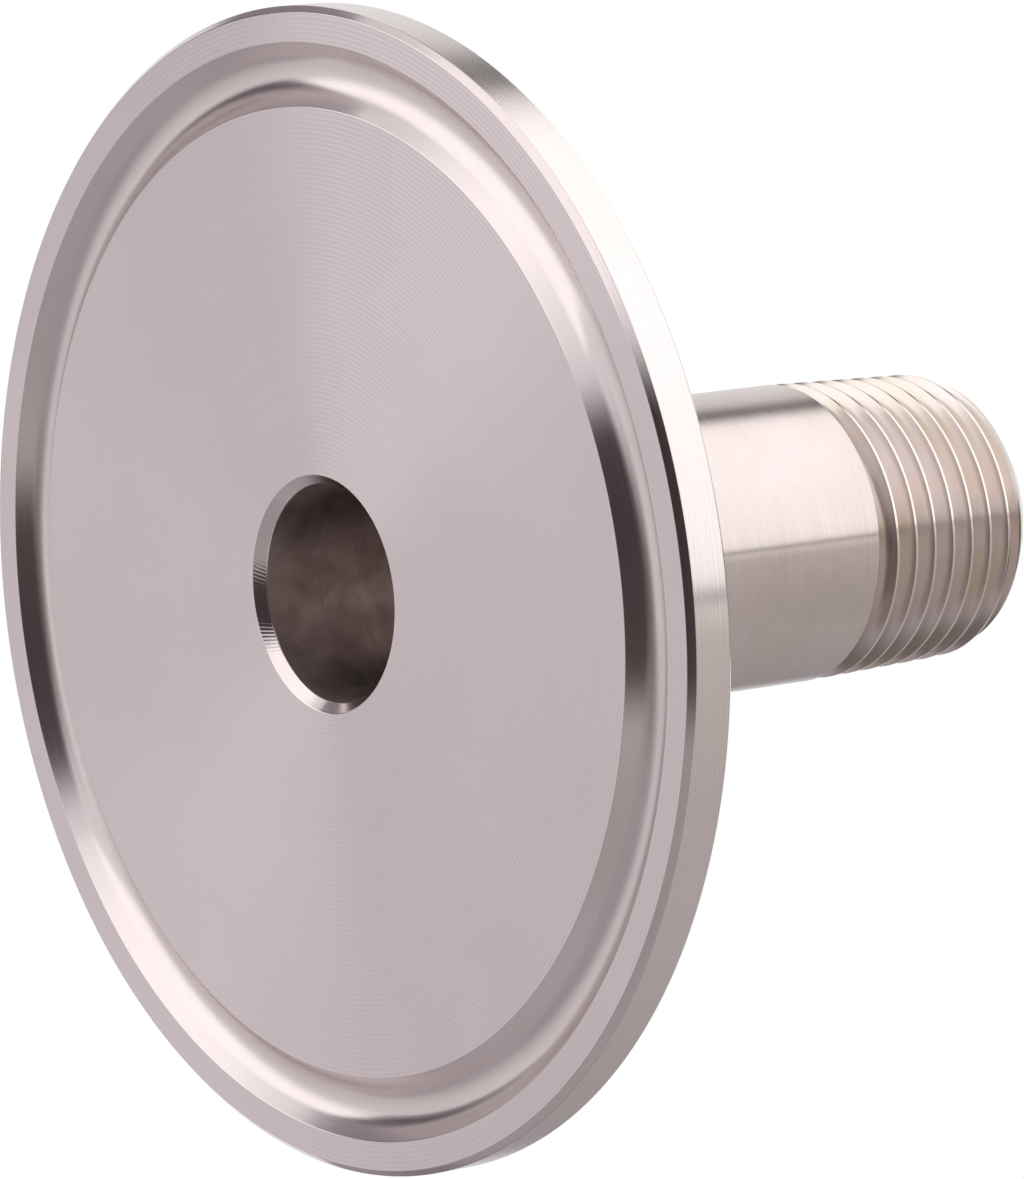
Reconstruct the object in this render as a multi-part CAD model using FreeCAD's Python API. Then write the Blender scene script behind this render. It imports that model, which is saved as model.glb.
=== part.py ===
import FreeCAD, Part
import math
import os

# Sanitary clamp threaded adapter, turned from one bar of stainless steel.
# A round clamp flange of the 64 mm size carries a gasket groove in its flat
# sealing face and a 20 degree bevel on its back, where the clamp grips.
# A straight shank leaves the back of the flange and ends in a male taper
# pipe thread, cut as a true helix, and one straight bore runs through the
# whole piece.
#
# Frame: the origin is the centre of the sealing face, and +Z runs along the
# axis towards the threaded end, so the adapter stands on its sealing face.
# All sizes are in millimetres, and all angles are in degrees.

# Clamp flange
RIM_DIAMETER = 64.0              # outside of the flange
RIM_WIDTH = 2.85                 # thickness at the outer edge
RIM_FRONT_CHAMFER = 0.35         # broken edge beside the sealing face
RIM_BACK_CHAMFER = 0.30          # broken edge beside the bevel
FLANGE_THICKNESS = 6.35          # from the sealing face to the flat back
CLAMP_BEVEL_ANGLE = 20.0         # slope of the back, from the flange plane

# Gasket groove in the sealing face
GROOVE_INSET = 3.70              # from the rim to the middle of the groove
GROOVE_WIDTH = 3.50              # across the mouth of the groove
GROOVE_WALL_ANGLE = 48.0         # slope of each wall, from the face plane
GROOVE_BOTTOM_RADIUS = 1.50      # round between the two walls

# Shank
SHANK_DIAMETER = 17.0            # pipe size 3/8 in
PLAIN_SHANK_LENGTH = 26.1        # from the flange back to the thread
SHANK_ROOT_FILLET = 1.2          # round where the shank meets the flange

# Taper pipe thread, right-hand
THREAD_LENGTH = 12.25            # from the plain shank to the end face
THREAD_TAPER = 1.0 / 16.0        # fall of the diameter along the axis
THREAD_PITCH = 25.4 / 18.0       # 18 turns to the inch
FLANK_ANGLE = 30.0               # from each flank to the plane of a turn
CREST_FLAT = 0.15                # left on top of each turn
ROOT_FLAT = 0.09                 # at the bottom between two turns
CREST_FROM_SHANK = 5.58          # to where a crest passes the +X side
RELIEF_FLOOR = 0.10              # flat of the notch where the thread ends at the shank
RELIEF_WIDTH = 0.62              # of that notch at its mouth
RELIEF_DROP = 0.04               # from the roots of the thread to the notch's floor
LEAD_LENGTH = 1.3                # cut-back of the first turns at the end
LEAD_ANGLE = 22.0                # slope of that cut-back, from the axis
END_CHAMFER = 1.0                # 45 degree edge at the end face

# Bore
BORE_DIAMETER = 12.0
BORE_FACE_CHAMFER = 0.55         # 45 degree edge in the sealing face
BORE_END_CHAMFER = 0.30          # 45 degree edge at the threaded end

# Cutters run this far past the surface that they open
CUT_PAST = 1.0
THREAD_CUT_PAST = 0.1            # the same, over the crests of the thread

# Sizes that follow from the ones above
RIM_RADIUS = RIM_DIAMETER / 2.0
SHANK_RADIUS = SHANK_DIAMETER / 2.0
BORE_RADIUS = BORE_DIAMETER / 2.0
GROOVE_CENTRE_RADIUS = RIM_RADIUS - GROOVE_INSET
THREAD_START = FLANGE_THICKNESS + PLAIN_SHANK_LENGTH
OVERALL_LENGTH = THREAD_START + THREAD_LENGTH
TAPER_SLOPE = THREAD_TAPER / 2.0
FLANK_SLOPE = math.tan(math.radians(FLANK_ANGLE))
THREAD_DEPTH = (THREAD_PITCH - CREST_FLAT - ROOT_FLAT) / 2.0 / FLANK_SLOPE
AXIS_START = FreeCAD.Vector(0.0, 0.0, 0.0)
AXIS = FreeCAD.Vector(0.0, 0.0, 1.0)
SIDE_AXIS = FreeCAD.Vector(1.0, 0.0, 0.0)
FULL_TURN = 360.0
HALF_TURN = 180.0
HALF_CORNER = 45.0               # from a side of a square corner to its middle


def point(radius, height):
    """Return a point of the turned section, in the plane of X and Z."""
    return FreeCAD.Vector(radius, 0.0, height)


def line(start, end):
    """Return a straight edge between two points of the section."""
    return Part.LineSegment(start, end).toShape()


def chain(points):
    """Return the straight edges that join a row of points."""
    return [line(start, end) for start, end in zip(points, points[1:])]


def turned(edges):
    """Close the edges into a face and turn it once about the axis."""
    section = Part.Face(Part.Wire(edges))
    return section.revolve(AXIS_START, AXIS, FULL_TURN)


def flange_back_outline():
    """Return the points of the flange from its face to the flat back.

    The bevel rises from the back of the rim at the clamp's angle until it
    meets the flat back of the flange.
    """
    bevel_rise = FLANGE_THICKNESS - RIM_WIDTH
    bevel_run = bevel_rise / math.tan(math.radians(CLAMP_BEVEL_ANGLE))
    bevel_start = RIM_RADIUS - RIM_BACK_CHAMFER
    return [
        point(0.0, 0.0),
        point(RIM_RADIUS - RIM_FRONT_CHAMFER, 0.0),
        point(RIM_RADIUS, RIM_FRONT_CHAMFER),
        point(RIM_RADIUS, RIM_WIDTH - RIM_BACK_CHAMFER),
        point(bevel_start, RIM_WIDTH),
        point(bevel_start - bevel_run, FLANGE_THICKNESS),
    ]


def root_fillet(corner_radius, corner_height):
    """Return the quarter round between the flange back and the shank."""
    start = point(corner_radius + SHANK_ROOT_FILLET, corner_height)
    end = point(corner_radius, corner_height + SHANK_ROOT_FILLET)
    inward = SHANK_ROOT_FILLET * (1.0 - math.cos(math.radians(HALF_CORNER)))
    middle = point(corner_radius + inward, corner_height + inward)
    return Part.Arc(start, middle, end).toShape(), start, end


def crest_radius(height):
    """Return the radius of the thread's crests at a height."""
    return SHANK_RADIUS - TAPER_SLOPE * (height - THREAD_START)


def body_blank():
    """Return the flange and the plain shank as one turned solid."""
    flange = flange_back_outline()
    fillet, fillet_start, fillet_end = root_fillet(SHANK_RADIUS, FLANGE_THICKNESS)
    edges = chain(flange + [fillet_start])
    edges.append(fillet)
    shank_end = [point(SHANK_RADIUS, THREAD_START), point(0.0, THREAD_START)]
    edges.extend(chain([fillet_end] + shank_end + [flange[0]]))
    return turned(edges)


def thread_blank():
    """Return the threaded end before its thread is cut.

    It begins with the notch that frees the thread from the shank, follows
    the crests by the pipe taper and by the cut-back of the first turns, and
    ends in a chamfer.
    """
    relief_radius = SHANK_RADIUS - THREAD_DEPTH - RELIEF_DROP
    relief_end = THREAD_START + RELIEF_WIDTH
    lead_start = OVERALL_LENGTH - END_CHAMFER - LEAD_LENGTH
    chamfer_start = OVERALL_LENGTH - END_CHAMFER
    lead_fall = LEAD_LENGTH * math.tan(math.radians(LEAD_ANGLE))
    chamfer_radius = crest_radius(lead_start) - lead_fall
    corners = [
        point(0.0, THREAD_START),
        point(relief_radius, THREAD_START),
        point(relief_radius, THREAD_START + RELIEF_FLOOR),
        point(crest_radius(relief_end), relief_end),
        point(crest_radius(lead_start), lead_start),
        point(chamfer_radius, chamfer_start),
        point(chamfer_radius - END_CHAMFER, OVERALL_LENGTH),
        point(0.0, OVERALL_LENGTH),
    ]
    return turned(chain(corners + [corners[0]]))


def thread_cutter():
    """Return the helical body that cuts the groove between the turns.

    Its section is swept along a conical helix from the thin end, where the
    cone opens upwards, and is then turned over, which keeps it right-hand.
    """
    groove_from_shank = CREST_FROM_SHANK + THREAD_PITCH / 2.0
    turns_past = math.ceil((THREAD_LENGTH - groove_from_shank) / THREAD_PITCH + 1.0)
    start_height = THREAD_START + groove_from_shank + turns_past * THREAD_PITCH
    radius = crest_radius(start_height)
    height = start_height - THREAD_START + THREAD_PITCH
    cone_angle = math.degrees(math.atan(TAPER_SLOPE))
    helix = Part.makeLongHelix(THREAD_PITCH, height, radius, cone_angle)
    half_mouth = (THREAD_PITCH - CREST_FLAT) / 2.0 + THREAD_CUT_PAST * FLANK_SLOPE
    half_root = ROOT_FLAT / 2.0
    corners = [
        point(radius + THREAD_CUT_PAST, -half_mouth),
        point(radius - THREAD_DEPTH, -half_root),
        point(radius - THREAD_DEPTH, half_root),
        point(radius + THREAD_CUT_PAST, half_mouth),
    ]
    section = Part.Wire(chain(corners + [corners[0]]))
    cutter = Part.Wire(helix).makePipeShell([section], True, True)
    cutter.rotate(AXIS_START, SIDE_AXIS, HALF_TURN)
    cutter.translate(AXIS * start_height)
    return cutter


def threaded_end():
    """Return the threaded end: its blank less the groove between the turns."""
    return thread_blank().cut(thread_cutter())


def groove_cutter():
    """Return the ring that cuts the gasket groove.

    Its section is a wide V with a round bottom that is tangent to both
    walls. The ring runs a little past the face that it opens.
    """
    angle = math.radians(GROOVE_WALL_ANGLE)
    half_width = GROOVE_WIDTH / 2.0
    v_depth = half_width * math.tan(angle)
    round_centre = v_depth - GROOVE_BOTTOM_RADIUS / math.cos(angle)
    tangent_offset = GROOVE_BOTTOM_RADIUS * math.sin(angle)
    tangent_depth = round_centre + GROOVE_BOTTOM_RADIUS * math.cos(angle)
    bottom_depth = round_centre + GROOVE_BOTTOM_RADIUS
    past = half_width + CUT_PAST / math.tan(angle)
    middle = GROOVE_CENTRE_RADIUS
    outer_mouth = point(middle + past, -CUT_PAST)
    outer_tangent = point(middle + tangent_offset, tangent_depth)
    bottom = point(middle, bottom_depth)
    inner_tangent = point(middle - tangent_offset, tangent_depth)
    inner_mouth = point(middle - past, -CUT_PAST)
    edges = [
        line(outer_mouth, outer_tangent),
        Part.Arc(outer_tangent, bottom, inner_tangent).toShape(),
        line(inner_tangent, inner_mouth),
        line(inner_mouth, outer_mouth),
    ]
    return turned(edges)


def bore_cutter():
    """Return the straight bore with a chamfer at each of its mouths."""
    face_radius = BORE_RADIUS + BORE_FACE_CHAMFER
    end_radius = BORE_RADIUS + BORE_END_CHAMFER
    corners = [
        point(0.0, -CUT_PAST),
        point(face_radius + CUT_PAST, -CUT_PAST),
        point(BORE_RADIUS, BORE_FACE_CHAMFER),
        point(BORE_RADIUS, OVERALL_LENGTH - BORE_END_CHAMFER),
        point(end_radius + CUT_PAST, OVERALL_LENGTH + CUT_PAST),
        point(0.0, OVERALL_LENGTH + CUT_PAST),
    ]
    return turned(chain(corners + [corners[0]]))


def adapter_body():
    """Return the adapter: body and threaded end, less the groove and the bore."""
    blank = body_blank().fuse(threaded_end())
    return blank.cut(groove_cutter()).cut(bore_cutter())


def main():
    """Build the adapter and write its STEP file."""
    os.makedirs("parts", exist_ok=True)
    body = adapter_body()
    body.exportStep("parts/adapter_body.step")
    box = body.optimalBoundingBox()
    print("solids", len(body.Solids), "valid", body.isValid())
    print("size", round(box.XLength, 3), round(box.YLength, 3), round(box.ZLength, 3))
    print("volume", round(body.Volume, 1))


main()
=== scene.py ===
"""Looks of the sanitary clamp threaded adapter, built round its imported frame."""
import logging
import math
from dataclasses import dataclass, field
from enum import Enum
from typing import ClassVar

import bpy
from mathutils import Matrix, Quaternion, Vector


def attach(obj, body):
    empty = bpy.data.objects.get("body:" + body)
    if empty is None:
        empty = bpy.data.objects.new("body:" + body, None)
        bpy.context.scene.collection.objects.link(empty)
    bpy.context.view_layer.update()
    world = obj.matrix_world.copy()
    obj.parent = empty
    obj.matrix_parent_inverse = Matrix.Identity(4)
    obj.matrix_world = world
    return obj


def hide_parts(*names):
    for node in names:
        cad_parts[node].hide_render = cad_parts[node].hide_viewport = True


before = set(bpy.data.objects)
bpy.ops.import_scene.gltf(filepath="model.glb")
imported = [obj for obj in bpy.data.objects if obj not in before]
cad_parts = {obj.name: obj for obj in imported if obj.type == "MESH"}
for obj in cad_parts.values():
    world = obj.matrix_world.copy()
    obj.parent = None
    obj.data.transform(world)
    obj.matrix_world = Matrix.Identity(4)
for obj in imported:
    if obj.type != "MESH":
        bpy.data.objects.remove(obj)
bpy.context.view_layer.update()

LOG = logging.getLogger("adapter")
MM = 0.001
MICROMETRE = 1e-6
AXIS = Vector((0.0, 0.0, 1.0))
WHITE = "FFFFFF"
MIX_A, MIX_B, MIX_RESULT = 6, 7, 2   # the colour sockets of Blender's mix node


class Marks(Enum):
    """Where a turning tool leaves its marks, by the way that it fed."""

    ACROSS_FACE = "rings that follow each other along the radius"
    ALONG_AXIS = "rings that follow each other along the axis"


class Zone(Enum):
    """The stretches of the turned surface, in the order of the material slots."""

    FACE = 0
    GROOVE = 1
    RIM = 2
    BACK = 3
    SHANK = 4
    THREAD = 5
    BORE = 6
    EDGE = 7
    MOUTH = 8


def linear(hex_colour: str) -> tuple[float, float, float, float]:
    """Turn an sRGB hex colour into linear light.

    Args:
        hex_colour: six hex digits, with or without a leading hash.

    Returns:
        Linear red, green, blue and an alpha of one.
    """
    digits = hex_colour.lstrip("#")
    shares = [int(digits[i : i + 2], 16) / 255.0 for i in (0, 2, 4)]
    light = [s / 12.92 if s <= 0.04045 else ((s + 0.055) / 1.055) ** 2.4 for s in shares]
    return (light[0], light[1], light[2], 1.0)


def toward(azimuth: float, elevation: float) -> Vector:
    """Turn two angles into a direction.

    Args:
        azimuth: degrees from +X towards +Y.
        elevation: degrees from the XY plane towards +Z.

    Returns:
        The unit vector that points there.
    """
    turn, rise = math.radians(azimuth), math.radians(elevation)
    level = math.cos(rise)
    return Vector((level * math.cos(turn), level * math.sin(turn), math.sin(rise)))


def add_node(
    tree: bpy.types.NodeTree,
    kind: str,
    links: dict[int | str, object] | None = None,
    **settings: object,
) -> bpy.types.Node:
    """Add one shader node with its settings, socket values and links.

    Args:
        tree: the node tree that takes the node.
        kind: Blender's type name of the node.
        links: input socket name or index, and what goes in: an output socket or a plain value.
        settings: attributes of the node itself.

    Returns:
        The new node.
    """
    node = tree.nodes.new(kind)
    for name, value in settings.items():
        setattr(node, name, value)
    for name, value in (links or {}).items():
        if isinstance(value, bpy.types.NodeSocket):
            tree.links.new(value, node.inputs[name])
        else:
            node.inputs[name].default_value = value
    return node


def fresh_tree(owner: bpy.types.ID) -> bpy.types.NodeTree:
    """Switch a material or a world to nodes.

    Args:
        owner: the material or world.

    Returns:
        Its node tree, emptied.
    """
    owner.use_nodes = True
    owner.node_tree.nodes.clear()
    return owner.node_tree


@dataclass(frozen=True)
class TurnedSteel:
    """Austenitic stainless steel as a lathe leaves it.

    The tool's feed leaves fine rings. They spread a reflection across
    themselves and keep it sharp along them, which draws light and dark wedges
    on a face and long bands on a cylinder. The feeds are real ones. Real
    scratches between the rings are a few hundredths of a millimetre apart, and
    the fine lines are drawn as coarse as they need to be to show.
    """

    name: str
    bright: str                      # clean metal
    dull: str                        # metal with a trace of film on it
    roughness: float
    stretch: float                   # how much longer the highlight is across the rings
    marks: Marks
    feed: float = 0.27               # mm from one ring to the next
    ring_depth: float = 0.5          # micrometres, of the regular feed rings
    scratch_spacing: float = 0.09    # mm, of the irregular fine lines between them
    scratch_depth: float = 0.35      # micrometres
    film_size: float = 9.0           # mm, of the patches of film
    roughness_swing: float = 0.05    # from ring to ring
    line_shade: float = 0.0          # share by which painted shade darkens the colour in the deepest fine lines
    chatter: float = 0.0             # micrometres, of the waves that a trembling tool leaves
    chatter_waves: int = 180         # of them once round the axis
    chatter_lean: float = -14.0      # radians by which they lag for each mm along the radius

    across_turn: ClassVar[float] = 0.25   # of a turn, from along the rings to across them
    chatter_patch: ClassVar[float] = 3.0  # mm, of the places where it is strong
    rings_per_swing: ClassVar[float] = 3.0
    # how strong each finer layer of a noise is beside the one before it
    line_grit: ClassVar[float] = 0.6
    swing_grit: ClassVar[float] = 0.65
    film_grit: ClassVar[float] = 0.55
    # the values of a noise between which its effect grows from none to full
    chatter_band: ClassVar[tuple[float, float]] = (0.42, 0.62)
    swing_band: ClassVar[tuple[float, float]] = (0.3, 0.7)
    film_band: ClassVar[tuple[float, float]] = (0.35, 0.7)
    shade_band: ClassVar[tuple[float, float]] = (0.38, 0.56)

    def material(self) -> bpy.types.Material:
        """Build the finish as a material and return it."""
        made = bpy.data.materials.new(self.name)
        tree = fresh_tree(made)
        place = add_node(tree, "ShaderNodeTexCoord").outputs["Object"]
        parts = add_node(tree, "ShaderNodeSeparateXYZ", {0: place})
        flat = add_node(tree, "ShaderNodeCombineXYZ", {0: parts.outputs[0], 1: parts.outputs[1]})
        radius = add_node(tree, "ShaderNodeVectorMath", {0: flat.outputs[0]}, operation="LENGTH")
        along = radius.outputs["Value"] if self.marks is Marks.ACROSS_FACE else parts.outputs[2]
        lines = self._lines(tree, along)
        reliefs = [self._rings(tree, along), self._line_height(tree, lines)]
        if self.chatter > 0.0:
            reliefs.append(self._chatter(tree, place, parts, along))
        height = reliefs[0]
        for relief in reliefs[1:]:
            total = add_node(tree, "ShaderNodeMath", {0: height, 1: relief}, operation="ADD")
            height = total.outputs[0]
        bump = add_node(
            tree, "ShaderNodeBump", {"Strength": 1.0, "Distance": MICROMETRE, "Height": height}
        )
        around = add_node(
            tree, "ShaderNodeVectorMath", {0: tuple(AXIS), 1: place}, operation="CROSS_PRODUCT"
        )
        tangent = add_node(
            tree, "ShaderNodeVectorMath", {0: around.outputs[0]}, operation="NORMALIZE"
        )
        shader = add_node(
            tree,
            "ShaderNodeBsdfPrincipled",
            {
                "Base Color": self._lined(tree, self._colour(tree, place), lines),
                "Roughness": self._dullness(tree, along),
                "Normal": bump.outputs[0],
                "Tangent": tangent.outputs[0],
                "Metallic": 1.0,
                "Anisotropic": self.stretch,
                "Anisotropic Rotation": self.across_turn,
            },
        )
        add_node(tree, "ShaderNodeOutputMaterial", {"Surface": shader.outputs[0]})
        made.diffuse_color = linear(self.bright)
        return made

    def _rings(
        self, tree: bpy.types.NodeTree, along: bpy.types.NodeSocket
    ) -> bpy.types.NodeSocket:
        """Return the height of the feed rings in micrometres."""
        wave_number = 2.0 * math.pi / (self.feed * MM)
        wave = add_node(tree, "ShaderNodeMath", {0: along, 1: wave_number}, operation="MULTIPLY")
        sine = add_node(tree, "ShaderNodeMath", {0: wave.outputs[0]}, operation="SINE")
        depth = add_node(
            tree, "ShaderNodeMath", {0: sine.outputs[0], 1: self.ring_depth}, operation="MULTIPLY"
        )
        return depth.outputs[0]

    def _lines(
        self, tree: bpy.types.NodeTree, along: bpy.types.NodeSocket
    ) -> bpy.types.NodeSocket:
        """Return the noise of the irregular fine lines."""
        noise = add_node(
            tree,
            "ShaderNodeTexNoise",
            {
                "W": along,
                "Scale": 1.0 / (self.scratch_spacing * MM),
                "Detail": 2.0,
                "Roughness": self.line_grit,
            },
            noise_dimensions="1D",
        )
        return noise.outputs[0]

    def _line_height(
        self, tree: bpy.types.NodeTree, lines: bpy.types.NodeSocket
    ) -> bpy.types.NodeSocket:
        """Return the height of the irregular fine lines in micrometres."""
        depth = add_node(
            tree, "ShaderNodeMath", {0: lines, 1: 2.0 * self.scratch_depth}, operation="MULTIPLY"
        )
        return depth.outputs[0]

    def _chatter(
        self,
        tree: bpy.types.NodeTree,
        place: bpy.types.NodeSocket,
        parts: bpy.types.Node,
        along: bpy.types.NodeSocket,
    ) -> bpy.types.NodeSocket:
        """Return the height of the chatter marks in micrometres, strong in some places only."""
        angle = add_node(
            tree, "ShaderNodeMath", {0: parts.outputs[1], 1: parts.outputs[0]}, operation="ARCTAN2"
        )
        turned = add_node(
            tree,
            "ShaderNodeMath",
            {0: angle.outputs[0], 1: float(self.chatter_waves)},
            operation="MULTIPLY",
        )
        lag = add_node(
            tree, "ShaderNodeMath", {0: along, 1: self.chatter_lean / MM}, operation="MULTIPLY"
        )
        phase = add_node(
            tree, "ShaderNodeMath", {0: turned.outputs[0], 1: lag.outputs[0]}, operation="ADD"
        )
        wave = add_node(tree, "ShaderNodeMath", {0: phase.outputs[0]}, operation="SINE")
        noise = add_node(
            tree,
            "ShaderNodeTexNoise",
            {"Vector": place, "Scale": 1.0 / (self.chatter_patch * MM), "Detail": 2.0},
        )
        low, high = self.chatter_band
        strong = add_node(
            tree, "ShaderNodeMapRange", {0: noise.outputs[0], 1: low, 2: high, 4: self.chatter}
        )
        depth = add_node(
            tree, "ShaderNodeMath", {0: wave.outputs[0], 1: strong.outputs[0]}, operation="MULTIPLY"
        )
        return depth.outputs[0]

    def _dullness(
        self, tree: bpy.types.NodeTree, along: bpy.types.NodeSocket
    ) -> bpy.types.NodeSocket:
        """Return the roughness, which changes a little from ring to ring."""
        width = self.rings_per_swing * self.feed * MM
        noise = add_node(
            tree,
            "ShaderNodeTexNoise",
            {"W": along, "Scale": 1.0 / width, "Detail": 3.0, "Roughness": self.swing_grit},
            noise_dimensions="1D",
        )
        low, high = self.swing_band
        swing = add_node(
            tree,
            "ShaderNodeMapRange",
            {
                0: noise.outputs[0],
                1: low,
                2: high,
                3: self.roughness - self.roughness_swing,
                4: self.roughness + self.roughness_swing,
            },
        )
        return swing.outputs[0]

    def _colour(
        self, tree: bpy.types.NodeTree, place: bpy.types.NodeSocket
    ) -> bpy.types.NodeSocket:
        """Return the colour, clean metal with soft patches of film."""
        noise = add_node(
            tree,
            "ShaderNodeTexNoise",
            {
                "Vector": place,
                "Scale": 1.0 / (self.film_size * MM),
                "Detail": 4.0,
                "Roughness": self.film_grit,
            },
        )
        low, high = self.film_band
        share = add_node(tree, "ShaderNodeMapRange", {0: noise.outputs[0], 1: low, 2: high})
        mix = add_node(
            tree,
            "ShaderNodeMix",
            {0: share.outputs[0], MIX_A: linear(self.bright), MIX_B: linear(self.dull)},
            data_type="RGBA",
        )
        return mix.outputs[MIX_RESULT]

    def _lined(
        self, tree: bpy.types.NodeTree, colour: bpy.types.NodeSocket, lines: bpy.types.NodeSocket
    ) -> bpy.types.NodeSocket:
        """Return the colour with painted shade, darker in the deepest of the fine lines."""
        if self.line_shade <= 0.0:
            return colour
        low, high = self.shade_band
        kept = add_node(
            tree,
            "ShaderNodeMapRange",
            {0: lines, 1: low, 2: high, 3: 1.0 - self.line_shade, 4: 1.0},
        )
        shaded = add_node(
            tree,
            "ShaderNodeMix",
            {0: 1.0, MIX_A: colour, MIX_B: kept.outputs[0]},
            data_type="RGBA",
            blend_type="MULTIPLY",
        )
        return shaded.outputs[MIX_RESULT]


class Bench:
    """The few modelling moves that the turned piece is made with."""

    @staticmethod
    def clear() -> None:
        """Leave edit mode and deselect everything."""
        if bpy.context.object and bpy.context.object.mode != "OBJECT":
            bpy.ops.object.mode_set(mode="OBJECT")
        bpy.ops.object.select_all(action="DESELECT")

    @classmethod
    def pick(cls, obj: bpy.types.Object) -> None:
        """Select one object and make it the active one."""
        cls.clear()
        obj.select_set(True)
        bpy.context.view_layer.objects.active = obj

    @classmethod
    def draw(cls, name: str, points: list[Vector]) -> bpy.types.Object:
        """Draw a closed section as a chain of edges, point by point.

        Args:
            name: the name of the new object.
            points: the corners of the section, in millimetres in the plane of X and Z.

        Returns:
            The new object, at the origin.
        """
        cls.clear()
        bpy.ops.mesh.primitive_plane_add(size=MM, location=(0.0, 0.0, 0.0))
        obj = bpy.context.active_object
        obj.name = obj.data.name = name
        bpy.ops.object.mode_set(mode="EDIT")
        bpy.ops.mesh.select_all(action="SELECT")
        bpy.ops.mesh.merge(type="CENTER")
        bpy.ops.transform.translate(value=points[0] * MM)
        at = points[0]
        for corner in points[1:] + [points[0]]:
            step = (corner - at) * MM
            bpy.ops.mesh.extrude_region_move(TRANSFORM_OT_translate={"value": step})
            at = corner
        cls.weld()
        bpy.ops.object.mode_set(mode="OBJECT")
        return obj

    @staticmethod
    def weld(reach: float = 1e-6) -> None:
        """Merge the points that coincide, on the mesh in edit mode.

        Args:
            reach: metres within which two points are one.
        """
        bpy.ops.mesh.select_all(action="SELECT")
        bpy.ops.mesh.remove_doubles(threshold=reach)

    @classmethod
    def turn(cls, obj: bpy.types.Object, steps: int) -> None:
        """Turn the drawn section once about the axis and point its faces outwards.

        Args:
            obj: the drawn section.
            steps: into how many the turn is divided.
        """
        cls.pick(obj)
        bpy.ops.object.mode_set(mode="EDIT")
        bpy.ops.mesh.select_all(action="SELECT")
        bpy.ops.mesh.spin(
            steps=steps, angle=2.0 * math.pi, center=(0.0, 0.0, 0.0), axis=tuple(AXIS)
        )
        cls.weld()
        bpy.ops.mesh.normals_make_consistent(inside=False)
        bpy.ops.object.mode_set(mode="OBJECT")

    @classmethod
    def apply(cls, obj: bpy.types.Object, modifier: bpy.types.Modifier) -> None:
        """Apply one modifier of an object."""
        cls.pick(obj)
        bpy.ops.object.modifier_apply(modifier=modifier.name)

    @classmethod
    def subtract(cls, obj: bpy.types.Object, cutter: bpy.types.Object) -> None:
        """Cut one closed mesh out of another and remove the cutter."""
        cut = obj.modifiers.new("cut", "BOOLEAN")
        cut.operation = "DIFFERENCE"
        cut.solver = "EXACT"
        cut.object = cutter
        cls.apply(obj, cut)
        bpy.data.objects.remove(cutter)


@dataclass
class Corner:
    """A corner of the turned section, in millimetres, with its edge break."""

    radius: float
    height: float
    break_radius: float = 0.0
    steps: int = 4                   # into how many its arc is divided

    def at(self) -> Vector:
        """Return the sharp corner as a point."""
        return Vector((self.radius, 0.0, self.height))

    def rounded(self, before: Vector, after: Vector) -> list[Vector]:
        """Return the points of the corner, on an arc that touches both of its sides.

        Args:
            before: the corner before this one.
            after: the corner after this one.

        Returns:
            The points in the order of the section, or the sharp corner alone.
        """
        here = self.at()
        if self.break_radius <= 0.0:
            return [here]
        back, on = (before - here).normalized(), (after - here).normalized()
        half = back.angle(on) / 2.0
        reach = self.break_radius / math.tan(half)
        centre = here + (back + on).normalized() * (self.break_radius / math.sin(half))
        start, end = here + back * reach - centre, here + on * reach - centre
        sweep = start.angle(end)
        points = []
        for step in range(self.steps + 1):
            share = step / self.steps
            low, high = math.sin((1.0 - share) * sweep), math.sin(share * sweep)
            points.append(centre + (start * low + end * high) / math.sin(sweep))
        return points


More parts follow.
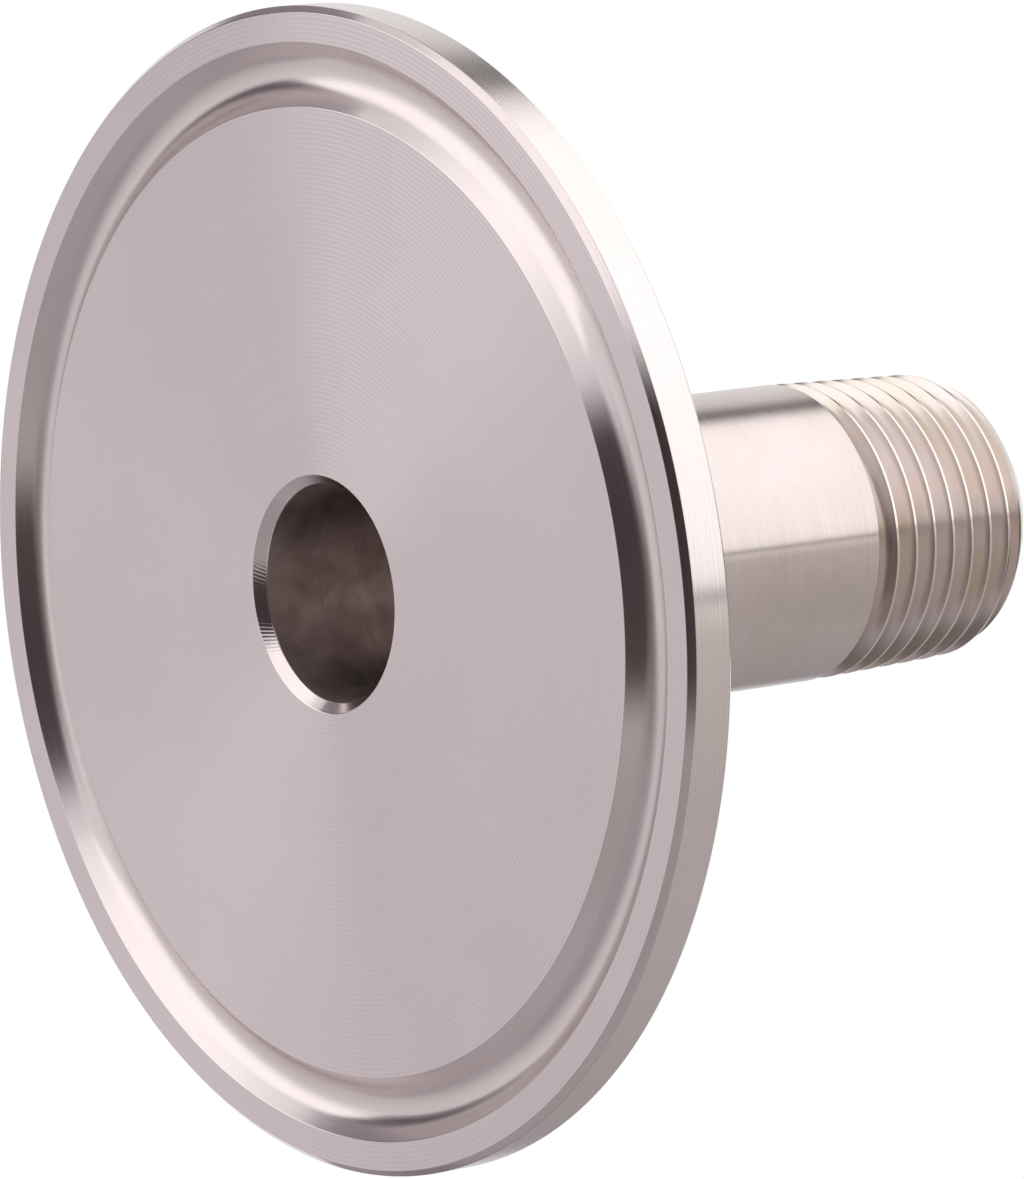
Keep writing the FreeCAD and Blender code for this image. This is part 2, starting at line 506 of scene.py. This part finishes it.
@dataclass
class Adapter:
    """The whole adapter, one turned piece: flange, groove, shank, thread and bore.

    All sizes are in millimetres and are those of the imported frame.
    """

    name: str = "adapter_turned"
    rim_radius: float = 32.0
    rim_width: float = 2.85
    rim_front_chamfer: float = 0.35
    rim_back_chamfer: float = 0.30
    flange_thickness: float = 6.35
    bevel_angle: float = 20.0
    groove_radius: float = 28.30
    groove_half_width: float = 1.75
    groove_wall_angle: float = 48.0
    groove_bottom_round: float = 1.50
    shank_radius: float = 8.5
    root_fillet: float = 1.2
    thread_start: float = 32.45
    length: float = 44.7
    taper_slope: float = 1.0 / 32.0
    lead_length: float = 1.3
    lead_angle: float = 22.0
    end_chamfer: float = 1.0
    bore_radius: float = 6.0
    bore_face_chamfer: float = 0.55
    bore_end_chamfer: float = 0.30
    edge_break: float = 0.07         # radius of a deburred edge
    mouth_break: float = 0.12        # radius where the bore's chamfer meets the bore
    bevel_break: float = 0.4         # radius where the bevel meets the flange's back
    shoulder_break: float = 0.03     # radius where the plain shank ends
    crest_break: float = 0.3         # radius where the lead begins
    lead_break: float = 0.5          # radius between the lead and the end chamfer
    end_break: float = 0.1           # radius between the end chamfer and the end face
    pitch: float = 25.4 / 18.0       # 18 turns to the inch
    flank_angle: float = 30.0        # degrees that a flank stands off square
    crest: float = 0.15              # flat left on each crest
    root: float = 0.09               # flat at the bottom of the thread
    crest_height: float = 38.03      # where a crest passes the +X side
    cutter_turns: int = 11
    cutter_rise: float = 0.1         # how far the cutter stands out of the shank
    relief_width: float = 0.62       # turned back where the thread ends at the shank
    relief_gap: float = 0.04         # how much deeper than the thread the relief is
    relief_wall: float = 0.02        # how far its wall leans
    relief_floor_end: float = 0.10   # from the plain shank to the end of its floor
    relief_lip: float = 0.02         # how far its far side stays below the plain shank
    thread_opening: float = 0.06     # from the plain shank to the cutter's first bite
    around: int = 256                # steps round the axis
    support: float = 0.04            # from an edge break to the ring that keeps its flat flat
    smooth_angle: float = 28.0       # degrees, past which an edge looks sharp
    bore_slack: float = 0.03         # how far a face of the bore may lie outside its radius
    slack: float = 0.02              # the same for the rim, the shank and the thread
    level: float = 0.001             # how far a face of the sealing plane may lie above it
    finishes: dict[Zone, TurnedSteel] = field(default_factory=dict)

    def _corners(self) -> list[Corner]:
        """Return the corners of the section, from the bore's mouth and round to the bore again."""
        edge = self.edge_break
        bevel_rise = self.flange_thickness - self.rim_width
        bevel_run = bevel_rise / math.tan(math.radians(self.bevel_angle))
        bevel_start = self.rim_radius - self.rim_back_chamfer
        lead_start = self.length - self.end_chamfer - self.lead_length
        lead_radius = self.shank_radius - self.taper_slope * (lead_start - self.thread_start)
        lead_end = lead_radius - self.lead_length * math.tan(math.radians(self.lead_angle))
        relief_floor = self.shank_radius - self._thread_depth() - self.relief_gap
        relief_end = self.thread_start + self.relief_width
        return [
            Corner(self.bore_radius, self.bore_face_chamfer, self.mouth_break),
            Corner(self.bore_radius + self.bore_face_chamfer, 0.0, edge),
            Corner(self.groove_radius - self.groove_half_width, 0.0, edge),
            Corner(self.groove_radius, self._wall_depth(), self.groove_bottom_round, 20),
            Corner(self.groove_radius + self.groove_half_width, 0.0, edge),
            Corner(self.rim_radius - self.rim_front_chamfer, 0.0, edge),
            Corner(self.rim_radius, self.rim_front_chamfer, edge),
            Corner(self.rim_radius, self.rim_width - self.rim_back_chamfer, edge),
            Corner(bevel_start, self.rim_width, edge),
            Corner(bevel_start - bevel_run, self.flange_thickness, self.bevel_break),
            Corner(self.shank_radius, self.flange_thickness, self.root_fillet, 10),
            Corner(self.shank_radius, self.thread_start, self.shoulder_break, 2),
            Corner(relief_floor, self.thread_start + self.relief_wall),
            Corner(relief_floor, self.thread_start + self.relief_floor_end),
            Corner(self.shank_radius - self.relief_lip, relief_end),
            Corner(lead_radius, lead_start, self.crest_break, 3),
            Corner(lead_end, self.length - self.end_chamfer, self.lead_break, 5),
            Corner(lead_end - self.end_chamfer, self.length, self.end_break, 3),
            Corner(self.bore_radius + self.bore_end_chamfer, self.length, edge),
            Corner(self.bore_radius, self.length - self.bore_end_chamfer, edge),
        ]

    def _wall_depth(self) -> float:
        """Return how deep the groove's walls would meet without its round bottom."""
        return self.groove_half_width * math.tan(math.radians(self.groove_wall_angle))

    def _thread_depth(self) -> float:
        """Return the depth that the flanks leave between a crest and a root."""
        flanks = self.pitch - self.crest - self.root
        return flanks / 2.0 / math.tan(math.radians(self.flank_angle))

    def _section(self) -> list[Vector]:
        """Return all points of the section, with a ring beside each edge break.

        The extra rings keep the wide surfaces flat up to the edge breaks when
        the shading is made smooth.
        """
        corners = self._corners()
        count = len(corners)
        arcs = [
            corners[i].rounded(corners[i - 1].at(), corners[(i + 1) % count].at())
            for i in range(count)
        ]
        points: list[Vector] = []
        for i, arc in enumerate(arcs):
            points.extend(arc)
            start, end = arc[-1], arcs[(i + 1) % count][0]
            gap = (end - start).length
            if gap > 5.0 * self.support:   # a shorter side stays flat by itself
                step = (end - start) * (self.support / gap)
                points.extend([start + step, end - step])
        return points

    def _blank(self) -> bpy.types.Object:
        """Turn the section into the adapter without its thread."""
        blank = Bench.draw(self.name, self._section())
        Bench.turn(blank, self.around)
        return blank

    def _thread_cutter(self) -> bpy.types.Object:
        """Return the closed helical body that the thread's groove is cut with.

        It is swept on a cylinder, and its points are then drawn in with height,
        which lays it on the cone of the taper.
        """
        flank = math.tan(math.radians(self.flank_angle))
        mouth = (self.pitch - self.crest) / 2.0 + self.cutter_rise * flank
        middle = self.crest_height + self.pitch * 0.5
        turns_below = math.ceil((middle - self.thread_start) / self.pitch + 1.0)
        low = middle - self.pitch * turns_below
        outer = self.shank_radius + self.cutter_rise
        inner = self.shank_radius - self._thread_depth()
        corners = [
            Vector((outer, 0.0, low - mouth)),
            Vector((inner, 0.0, low - self.root / 2.0)),
            Vector((inner, 0.0, low + self.root / 2.0)),
            Vector((outer, 0.0, low + mouth)),
        ]
        cutter = Bench.draw("thread_cutter", corners)
        sweep = cutter.modifiers.new("sweep", "SCREW")
        sweep.axis = "Z"
        sweep.angle = 2.0 * math.pi
        sweep.screw_offset = self.pitch * MM
        sweep.iterations = self.cutter_turns
        sweep.steps = sweep.render_steps = self.around
        Bench.apply(cutter, sweep)
        for vertex in cutter.data.vertices:
            radius = math.hypot(vertex.co.x, vertex.co.y)
            fall = self.taper_slope * max(0.0, vertex.co.z - self.thread_start * MM)
            vertex.co.x *= (radius - fall) / radius
            vertex.co.y *= (radius - fall) / radius
        Bench.pick(cutter)
        bpy.ops.object.mode_set(mode="EDIT")
        bpy.ops.mesh.select_all(action="SELECT")
        bpy.ops.mesh.fill_holes(sides=0)
        Bench.weld(1e-7)
        bpy.ops.mesh.normals_make_consistent(inside=False)
        bpy.ops.object.mode_set(mode="OBJECT")
        Bench.subtract(cutter, self._plain_stub())
        return cutter

    def _plain_stub(self) -> bpy.types.Object:
        """Return the cylinder that keeps the thread's groove off the plain shank."""
        top = self.thread_start + self.thread_opening
        height = 3.0 * self.pitch          # reaches below the cutter's lowest turn
        reach = 1.5 * self.shank_radius    # reaches outside the cutter
        Bench.clear()
        bpy.ops.mesh.primitive_cylinder_add(
            vertices=48,
            radius=reach * MM,
            depth=height * MM,
            location=(0.0, 0.0, (top - height / 2.0) * MM),
        )
        return bpy.context.active_object

    def _zone(self, centre: Vector, normal: Vector) -> Zone:
        """Return the stretch of surface that a face belongs to.

        Args:
            centre: the middle of the face, in millimetres.
            normal: the outward normal of the face.

        Returns:
            The zone, whose value is the number of the material slot.
        """
        radius = math.hypot(centre.x, centre.y)
        chamfer = self.bore_face_chamfer
        from_groove = abs(radius - self.groove_radius)
        if radius < self.bore_radius + self.bore_slack and chamfer / 2.0 < centre.z < self.length:
            return Zone.BORE
        if centre.z < chamfer and radius < self.bore_radius + chamfer:
            return Zone.MOUTH
        if centre.z < self.level:
            return Zone.FACE
        in_groove = from_groove < self.groove_half_width + self.edge_break
        if in_groove and centre.z < self._wall_depth() and normal.z < 0.0:
            return Zone.GROOVE
        if radius > self.rim_radius - self.slack:
            return Zone.RIM
        if centre.z < self.rim_width and radius > self.bore_radius:
            return Zone.EDGE
        if radius < self.shank_radius + self.slack:
            return Zone.THREAD if centre.z > self.thread_start else Zone.SHANK
        return Zone.BACK

    def _dress(self, piece: bpy.types.Object) -> None:
        """Give every face the finish of its stretch of surface."""
        piece.data.materials.clear()
        for zone in Zone:
            piece.data.materials.append(self.finishes[zone].material())
        for face in piece.data.polygons:
            face.material_index = self._zone(face.center / MM, face.normal).value

    def build(self) -> bpy.types.Object:
        """Build the adapter, dress it and put it in the place of its CAD node."""
        piece = self._blank()
        Bench.subtract(piece, self._thread_cutter())
        Bench.pick(piece)
        bpy.ops.object.shade_smooth_by_angle(angle=math.radians(self.smooth_angle))
        self._dress(piece)
        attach(piece, "root")
        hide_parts("adapter_body")
        faces = sum(len(face.vertices) - 2 for face in piece.data.polygons)
        LOG.info("%s: %d triangles", piece.name, faces)
        return piece


def adapter_finishes() -> dict[Zone, TurnedSteel]:
    """Return the finish of each stretch of the adapter, all of one stainless steel."""
    return {
        # Stainless steel, faced on the lathe: a calm silver disc with a soft wedge of
        # light and shade above and below the bore, and rings that only just show.
        Zone.FACE: TurnedSteel(
            "stainless_steel_faced", "D0C5C8", "CEC2C5", 0.23, 0.92, Marks.ACROSS_FACE,
            ring_depth=3.0, scratch_depth=0.04, roughness_swing=0.006,
        ),
        # Stainless steel, cut with a form tool: smooth, and so a broad dark and a broad
        # white band that run round the groove and melt into its bottom.
        Zone.GROOVE: TurnedSteel(
            "stainless_steel_grooved", "D6CBCC", "D0C5C6", 0.18, 0.97, Marks.ACROSS_FACE,
            feed=0.12, ring_depth=0.2, scratch_depth=0.1, roughness_swing=0.02,
        ),
        # Stainless steel, turned: bright, with hairlines that run round the rim.
        Zone.RIM: TurnedSteel(
            "stainless_steel_rim", "D8CECF", "D5CBC6", 0.22, 0.9, Marks.ALONG_AXIS, feed=0.19,
            ring_depth=1.2, scratch_spacing=0.13, scratch_depth=0.2, roughness_swing=0.015,
            # painted shade in the deepest fine lines
            line_shade=0.06,
        ),
        # Stainless steel, rough turned: the dullest surface, with uneven rings.
        Zone.BACK: TurnedSteel(
            "stainless_steel_back", "CEC4C5", "C4BABA", 0.30, 0.7, Marks.ACROSS_FACE,
            # painted shade in the deepest fine lines
            line_shade=0.1,
        ),
        # Stainless steel, turned: long light and dark bands with a straight edge between
        # them, and rings that are too fine to break them up.
        Zone.SHANK: TurnedSteel(
            "stainless_steel_shank", "D0C4C2", "C8BCB6", 0.22, 0.9, Marks.ALONG_AXIS, feed=0.22,
            ring_depth=0.4, scratch_depth=0.08, roughness_swing=0.012, film_size=6.0,
            # faint painted shade in the deepest fine lines
            line_shade=0.05,
        ),
        # Stainless steel, cut with a thread tool: glossy flanks with a warm trace of
        # cutting oil in patches.
        Zone.THREAD: TurnedSteel(
            "stainless_steel_threaded", "DAD0CE", "D4C9BE", 0.2, 0.75, Marks.ALONG_AXIS, feed=0.1,
            ring_depth=0.0, scratch_depth=0.15, roughness_swing=0.02, film_size=4.0,
        ),
        # Stainless steel, drilled: deep brown-grey with cloudy patches of film. The marks
        # of the drill are drawn 0.6 mm apart, or they would be lost in the dark.
        Zone.BORE: TurnedSteel(
            "stainless_steel_drilled", "F2E8E6", "AE9E9A", 0.28, 0.8, Marks.ALONG_AXIS, feed=0.4,
            ring_depth=0.1, scratch_spacing=0.6, scratch_depth=0.02, film_size=3.4,
            roughness_swing=0.01, chatter=0.5, chatter_lean=0.0,
        ),
        # Stainless steel, chamfered: the thin bright or dark line that an edge draws.
        Zone.EDGE: TurnedSteel(
            "stainless_steel_chamfered", "D0C5C6", "C9BDBE", 0.13, 0.8, Marks.ACROSS_FACE, feed=0.1,
            ring_depth=0.1,
        ),
        # Stainless steel, countersunk by a tool that trembled: a mirror-like ring that is
        # broken up by slanting ripples where light turns to dark.
        Zone.MOUTH: TurnedSteel(
            "stainless_steel_countersunk", "D4C9CA", "CDC2C2", 0.12, 0.7, Marks.ACROSS_FACE,
            feed=0.1, ring_depth=0.1, chatter=2.6,
        ),
    }


@dataclass(frozen=True)
class Softbox:
    """A rectangular studio light that faces the adapter."""

    name: str
    azimuth: float
    elevation: float
    width: float                     # degrees that it spans
    height: float                    # degrees that it spans
    radiance: float                  # added to the white room behind, which is 1
    colour: str = WHITE
    distance: float = 1.5            # metres

    def build(self, centre: Vector) -> bpy.types.Object:
        """Hang the light, out of the camera's sight.

        Args:
            centre: the point that it faces.

        Returns:
            The light's object.
        """
        side = 2.0 * self.distance * math.tan(math.radians(self.width / 2.0))
        rise = 2.0 * self.distance * math.tan(math.radians(self.height / 2.0))
        lamp = bpy.data.lights.new(self.name, "AREA")
        lamp.shape = "RECTANGLE"
        lamp.size, lamp.size_y = side, rise
        lamp.energy = self.radiance * math.pi * side * rise
        lamp.color = linear(self.colour)[:3]
        obj = bpy.data.objects.new(self.name, lamp)
        bpy.context.scene.collection.objects.link(obj)
        away = toward(self.azimuth, self.elevation)
        obj.location = centre + away * self.distance
        obj.rotation_mode = "QUATERNION"
        obj.rotation_quaternion = (-away).to_track_quat("-Z", "Y")
        obj.visible_camera = False
        return obj


@dataclass(frozen=True)
class Card:
    """A flat card that the metal reflects and the camera doesn't see."""

    name: str
    azimuth: float
    elevation: float
    width: float                     # degrees that it spans
    height: float                    # degrees that it spans
    colour: str                      # at the end with the larger azimuth
    far_colour: str                  # at the other end
    roll: float = 0.0
    distance: float = 1.2            # metres
    fade: float = 0.02               # share of the half width in which the edge thins out
    squareness: float = 12.0         # 2 gives an oval, more gives square corners
    level: bool = False              # it lies level and doesn't turn to the adapter

    def build(self, centre: Vector) -> bpy.types.Object:
        """Set the card up where only reflections see it.

        Args:
            centre: the point that its azimuth and elevation start from.

        Returns:
            The card's object.
        """
        Bench.clear()
        bpy.ops.mesh.primitive_plane_add(size=2.0)
        card = bpy.context.active_object
        card.name = card.data.name = self.name
        away = toward(self.azimuth, self.elevation)
        side = self.distance * math.tan(math.radians(self.width / 2.0))
        rise = self.distance * math.tan(math.radians(self.height / 2.0))
        turn = Quaternion(AXIS, math.radians(self.roll))
        card.rotation_mode = "QUATERNION"
        faced = Quaternion() if self.level else (-away).to_track_quat("Z", "Y")
        card.rotation_quaternion = faced @ turn
        card.location = centre + away * self.distance
        card.scale = (side, rise, 1.0)
        card.data.materials.append(self._surface())
        card.visible_camera = card.visible_diffuse = card.visible_shadow = False
        card.visible_transmission = card.visible_volume_scatter = False
        return card

    def _surface(self) -> bpy.types.Material:
        """Return its material, whose colour grades along the width and thins out at the edge."""
        made = bpy.data.materials.new(self.name + "_paper")
        tree = fresh_tree(made)
        place = add_node(tree, "ShaderNodeTexCoord").outputs["Object"]
        parts = add_node(tree, "ShaderNodeSeparateXYZ", {0: place})
        share = add_node(
            tree,
            "ShaderNodeMapRange",
            {0: parts.outputs[0], 1: -1.0, 2: 1.0},
            interpolation_type="SMOOTHSTEP",
        )
        mix = add_node(
            tree,
            "ShaderNodeMix",
            {0: share.outputs[0], MIX_A: linear(self.colour), MIX_B: linear(self.far_colour)},
            data_type="RGBA",
        )
        glow = add_node(
            tree, "ShaderNodeEmission", {"Color": mix.outputs[MIX_RESULT], "Strength": 1.0}
        )
        clear = add_node(tree, "ShaderNodeBsdfTransparent")
        reach = [self._power(tree, parts.outputs[i], self.squareness) for i in (0, 1)]
        total = add_node(tree, "ShaderNodeMath", {0: reach[0], 1: reach[1]}, operation="ADD")
        from_middle = self._power(tree, total.outputs[0], 1.0 / self.squareness)
        thinned = add_node(
            tree,
            "ShaderNodeMapRange",
            {0: from_middle, 1: 1.0 - self.fade, 2: 1.0},
            interpolation_type="SMOOTHSTEP",
        )
        both = add_node(
            tree,
            "ShaderNodeMixShader",
            {0: thinned.outputs[0], 1: glow.outputs[0], 2: clear.outputs[0]},
        )
        add_node(tree, "ShaderNodeOutputMaterial", {"Surface": both.outputs[0]})
        return made

    @staticmethod
    def _power(
        tree: bpy.types.NodeTree, value: bpy.types.NodeSocket, exponent: float
    ) -> bpy.types.NodeSocket:
        """Return the size of a value, raised to a power."""
        size = add_node(tree, "ShaderNodeMath", {0: value}, operation="ABSOLUTE")
        power = add_node(
            tree, "ShaderNodeMath", {0: size.outputs[0], 1: exponent}, operation="POWER"
        )
        return power.outputs[0]


@dataclass
class Studio:
    """The camera, the plain floor and the lights round the adapter."""

    camera_place: tuple[float, float, float] = (336.118, 22.004, -238.844)   # mm
    camera_turn: tuple[float, float, float] = (169.88047, -52.56036, 16.22677)  # degrees
    focal_share: float = 7588.637 / 1179.0    # focal length over the picture's height
    sensor: float = 36.0                      # mm
    clip: tuple[float, float] = (0.01, 20.0)  # metres that the camera sees between
    centre: tuple[float, float, float] = (0.0, 0.0, 15.0)   # mm
    floor_drop: float = 0.1                   # mm below the sealing face
    floor_size: float = 6.0                   # metres
    floor_fade: tuple[float, float] = (0.15, 0.8)   # metres from the axis, where it thins out
    floor_colour: str = "E6E4E3"
    softboxes: tuple[Softbox, ...] = ()
    cards: tuple[Card, ...] = ()

    def camera(self) -> bpy.types.Object:
        """Create the camera at the photograph's viewing angle."""
        lens = bpy.data.cameras.new("camera")
        lens.sensor_width = self.sensor
        lens.lens = self.focal_share * self.sensor
        lens.clip_start, lens.clip_end = self.clip
        camera = bpy.data.objects.new("camera", lens)
        bpy.context.scene.collection.objects.link(camera)
        camera.location = Vector(self.camera_place) * MM
        camera.rotation_euler = [math.radians(a) for a in self.camera_turn]
        bpy.context.scene.camera = camera
        return camera

    def world(self) -> None:
        """Surround everything with plain white."""
        world = bpy.data.worlds.new("white_room")
        tree = fresh_tree(world)
        back = add_node(tree, "ShaderNodeBackground", {"Color": linear(WHITE), "Strength": 1.0})
        add_node(tree, "ShaderNodeOutputWorld", {"Surface": back.outputs[0]})
        bpy.context.scene.world = world

    def floor(self) -> bpy.types.Object:
        """Lay the floor under the sealing face.

        The photograph looks at the sealing face from the floor's side, so the
        floor shows from above only and is clear from below. It thins out away
        from the adapter, which leaves no horizon in a low view.
        """
        Bench.clear()
        bpy.ops.mesh.primitive_plane_add(size=1.0)
        floor = bpy.context.active_object
        floor.name = floor.data.name = "floor"
        floor.location = (0.0, 0.0, -self.floor_drop * MM)
        floor.scale = (self.floor_size, self.floor_size, 1.0)
        made = bpy.data.materials.new("floor_paper")
        tree = fresh_tree(made)
        matt = add_node(tree, "ShaderNodeBsdfDiffuse", {"Color": linear(self.floor_colour)})
        clear = add_node(tree, "ShaderNodeBsdfTransparent")
        side = add_node(tree, "ShaderNodeNewGeometry").outputs["Backfacing"]
        both = add_node(
            tree, "ShaderNodeMixShader", {0: side, 1: matt.outputs[0], 2: clear.outputs[0]}
        )
        place = add_node(tree, "ShaderNodeTexCoord").outputs["Object"]
        away = add_node(tree, "ShaderNodeVectorMath", {0: place}, operation="LENGTH")
        near, far = (reach / self.floor_size for reach in self.floor_fade)
        share = add_node(
            tree,
            "ShaderNodeMapRange",
            {0: away.outputs["Value"], 1: near, 2: far},
            interpolation_type="SMOOTHSTEP",
        )
        thinned = add_node(
            tree,
            "ShaderNodeMixShader",
            {0: share.outputs[0], 1: both.outputs[0], 2: clear.outputs[0]},
        )
        add_node(tree, "ShaderNodeOutputMaterial", {"Surface": thinned.outputs[0]})
        floor.data.materials.append(made)
        floor.visible_diffuse = floor.visible_glossy = floor.visible_shadow = False
        floor.visible_transmission = False
        return floor

    def build(self) -> None:
        """Set up the camera, the surroundings and the lights."""
        self.camera()
        self.world()
        self.floor()
        centre = Vector(self.centre) * MM
        for light in self.softboxes:
            light.build(centre)
            LOG.info("softbox %s", light.name)
        for card in self.cards:
            card.build(centre)
            LOG.info("card %s", card.name)


def adapter_studio() -> Studio:
    """Return the studio that the adapter is shown in."""
    return Studio(
        softboxes=(
            Softbox("softbox_face_side", -108.0, -44.0, 76.0, 46.0, 0.6, "FFFCF9"),
            Softbox("softbox_back_side", -42.0, 36.0, 92.0, 50.0, 0.72),
        ),
        cards=(
            # the grey table: lower half of the shank and rim, and most of the groove's walls
            Card("table_card", 86.5, 0.0, 147.0, 150.0, "A29EA4", "E8E4DF", distance=1.6),
            Card(
                "table_below", 95.0, -55.0, 84.0, 66.0, "B0ABB4", "B8B4B1",
                distance=1.4, fade=0.4, squareness=3.0,
            ),
            # the pale end of the table, which the sealing face mirrors
            Card(
                "light_end", 174.0, -38.0, 76.0, 66.0, "FFFFFF", "CBC5C4",
                fade=0.7, squareness=2.0,
            ),
            # the dark of the room, behind the camera, above and below it
            Card(
                "dark_above", 70.0, 70.0, 50.0, 50.0, "4A4849", "3A3839",
                fade=0.5, squareness=2.0,
            ),
            Card(
                "dim_below", 60.0, -83.0, 44.0, 56.0, "A89E98", "2A2424",
                distance=1.1, fade=0.9, squareness=2.0,
            ),
            Card(
                "dark_room", 4.0, -31.0, 68.5, 107.0, "4E4444", "463C40",
                roll=5.0, distance=0.9, fade=0.42, squareness=2.0,
            ),
            # the gap between the table and the light, a thin line along the shank
            Card("dark_line", 13.6, 37.0, 1.5, 50.0, "1E1A18", "1E1A18", distance=0.9),
            # painted shade: dark cards close to the adapter that stand in for its own shadow on the
            # table, seen in the lower flanks of the thread and in the shank
            Card(
                "thread_shade", 115.0, -11.7, 66.0, 52.0, "746C68", "746C68",
                roll=25.0, distance=0.077, fade=0.5, squareness=3.0, level=True,
            ),
            Card(
                "back_shade", 98.0, 0.0, 92.0, 24.0, "5E5652", "5E5652",
                distance=0.1, fade=0.6, squareness=3.0,
            ),
            # the edges of the lights, dark streaks at the top of the shank and of the rim
            Card(
                "dark_strip", -106.5, 24.0, 19.0, 66.0, "4A4648", "4A4648",
                distance=1.3, fade=0.6,
            ),
            Card(
                "dark_gap", -143.0, -9.5, 46.0, 30.0, "A7A2A8", "1E1818",
                roll=-33.0, distance=1.0,
            ),
        ),
    )


def main() -> None:
    """Build the studio and the adapter."""
    logging.basicConfig(level=logging.INFO, format="%(name)s: %(message)s")
    bpy.context.scene.view_settings.view_transform = "Standard"
    adapter_studio().build()
    Adapter(finishes=adapter_finishes()).build()


if __name__ == "__main__":
    main()
